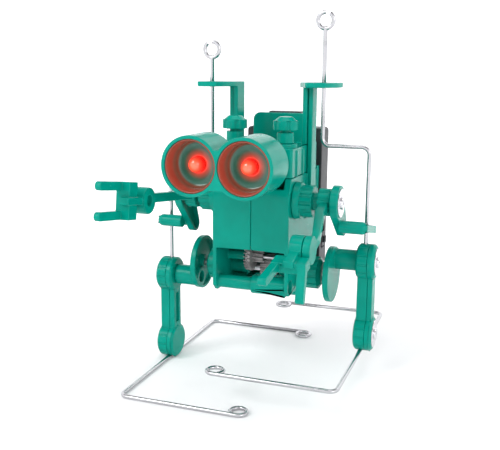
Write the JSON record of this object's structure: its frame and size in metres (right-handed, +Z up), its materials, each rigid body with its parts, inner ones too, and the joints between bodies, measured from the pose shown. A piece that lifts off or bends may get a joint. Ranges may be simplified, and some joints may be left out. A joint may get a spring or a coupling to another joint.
{
  "type": "educational coding robot",
  "caption": "Motor-driven walking robot kit with wire feet, a geared crank, posable claw arms and red lamp eyes.",
  "frame": {"origin": "centre of the bounding box at the floor the standing foot rests on", "axes": "+X the robot's left, -Y its front, +Z up"},
  "size_m": [0.0912, 0.1272, 0.1426],
  "materials": {
    "teal_gloss": "polished injection-moulded ABS",
    "grey_gear": "matte acetal",
    "black_box": "fine-textured moulding",
    "wire": "bright drawn wire",
    "screw": "nickel-plated pressing",
    "steel": "ground steel",
    "reflector": "glossy cup lit red from inside",
    "lamp": "clear red epoxy lens",
    "board": "solder mask",
    "cell_wrap": "printed metal sleeve without marks"
  },
  "bodies": {
    "chassis": {"body_left": "teal_gloss", "body_right": "teal_gloss", "head_block": "teal_gloss", "eye_housing": "teal_gloss", "reflectors": "reflector", "lamps": "lamp", "lamp_board": "board", "rear_panel": "teal_gloss", "battery_box": "black_box", "battery_cover": "black_box", "cells": "cell_wrap", "cell_contacts": "steel", "bracket_left": "teal_gloss", "bracket_right": "teal_gloss", "axle_bushes": "teal_gloss", "crown_axle": "steel", "motor_can": "steel", "shoulder_left": "teal_gloss", "shoulder_right": "teal_gloss", "guide_lever_left": "teal_gloss", "guide_lever_right": "teal_gloss", "shoulder_screws": "screw", "body_screws": "screw"},
    "crankshaft": {"crank_axle": "steel", "axle_gear": "grey_gear", "crank_left": "teal_gloss", "crank_right": "teal_gloss"},
    "crown": {"crown_gear": "grey_gear"},
    "rotor": {"motor_shaft": "grey_gear"},
    "leg_left": {"leg_left_inner": "teal_gloss", "leg_left_outer": "teal_gloss", "leg_screws_left": "screw", "leg_wire_left": "wire", "foot_wire_left": "wire"},
    "leg_right": {"leg_right_inner": "teal_gloss", "leg_right_outer": "teal_gloss", "leg_screws_right": "screw", "leg_wire_right": "wire", "foot_wire_right": "wire"},
    "left_arm": {"arm_left": "teal_gloss"},
    "right_arm": {"arm_right": "teal_gloss"},
    "left_hand": {"hand_left": "teal_gloss"},
    "right_hand": {"hand_right": "teal_gloss"},
    "left_knob": {"knob_left": "teal_gloss"},
    "right_knob": {"knob_right": "teal_gloss"},
    "switch": {"power_switch": "black_box"}
  },
  "joints": [
    {"name": "crank_spin", "type": "hinge", "parent": "chassis", "child": "crankshaft", "pos_m": [0, 0.01325, 0.04191], "axis": [1, 0, 0], "continuous": true},
    {"name": "crown_spin", "type": "hinge", "parent": "chassis", "child": "crown", "pos_m": [0, 0.00825, 0.0475], "axis": [1, 0, 0], "continuous": true},
    {"name": "rotor_spin", "type": "hinge", "parent": "chassis", "child": "rotor", "pos_m": [-0.0075, 0.00825, 0.05391], "axis": [0, 0, 1], "continuous": true},
    {"name": "left_leg_swing", "type": "hinge", "parent": "crankshaft", "child": "leg_left", "pos_m": [0.04, 0.01704, 0.04731], "axis": [1, 0, 0], "continuous": true},
    {"name": "right_leg_swing", "type": "hinge", "parent": "crankshaft", "child": "leg_right", "pos_m": [-0.04, 0.00947, 0.0365], "axis": [1, 0, 0], "continuous": true},
    {"name": "left_shoulder", "type": "hinge", "parent": "chassis", "child": "left_arm", "pos_m": [0.027, 0.00325, 0.07211], "axis": [-1, 0, 0], "range_deg": [-22, 70]},
    {"name": "right_shoulder", "type": "hinge", "parent": "chassis", "child": "right_arm", "pos_m": [-0.027, 0.00325, 0.07211], "axis": [-1, 0, 0], "range_deg": [-40, 52]},
    {"name": "left_wrist", "type": "hinge", "parent": "left_arm", "child": "left_hand", "pos_m": [0.028, -0.03621, 0.063], "axis": [-1, 0, 0], "range_deg": [-35, 50]},
    {"name": "right_wrist", "type": "hinge", "parent": "right_arm", "child": "right_hand", "pos_m": [-0.028, -0.03709, 0.07564], "axis": [-1, 0, 0], "range_deg": [-35, 45]},
    {"name": "left_knob_turn", "type": "hinge", "parent": "chassis", "child": "left_knob", "pos_m": [0.0102, 0.00475, 0.09791], "axis": [0, 0, 1], "continuous": true},
    {"name": "right_knob_turn", "type": "hinge", "parent": "chassis", "child": "right_knob", "pos_m": [-0.0102, 0.00475, 0.09791], "axis": [0, 0, 1], "continuous": true},
    {"name": "switch_slide", "type": "slide", "parent": "chassis", "child": "switch", "axis": [0, 0, 1], "range_m": [0, 0.0036]}
  ],
  "couplings": [
    {"joint": "crown_spin", "follows": "crank_spin", "ratio": -2.75},
    {"joint": "rotor_spin", "follows": "crank_spin", "ratio": 8.25},
    {"joint": "left_leg_swing", "follows": "crank_spin", "ratio": -1},
    {"joint": "right_leg_swing", "follows": "crank_spin", "ratio": -1}
  ]
}
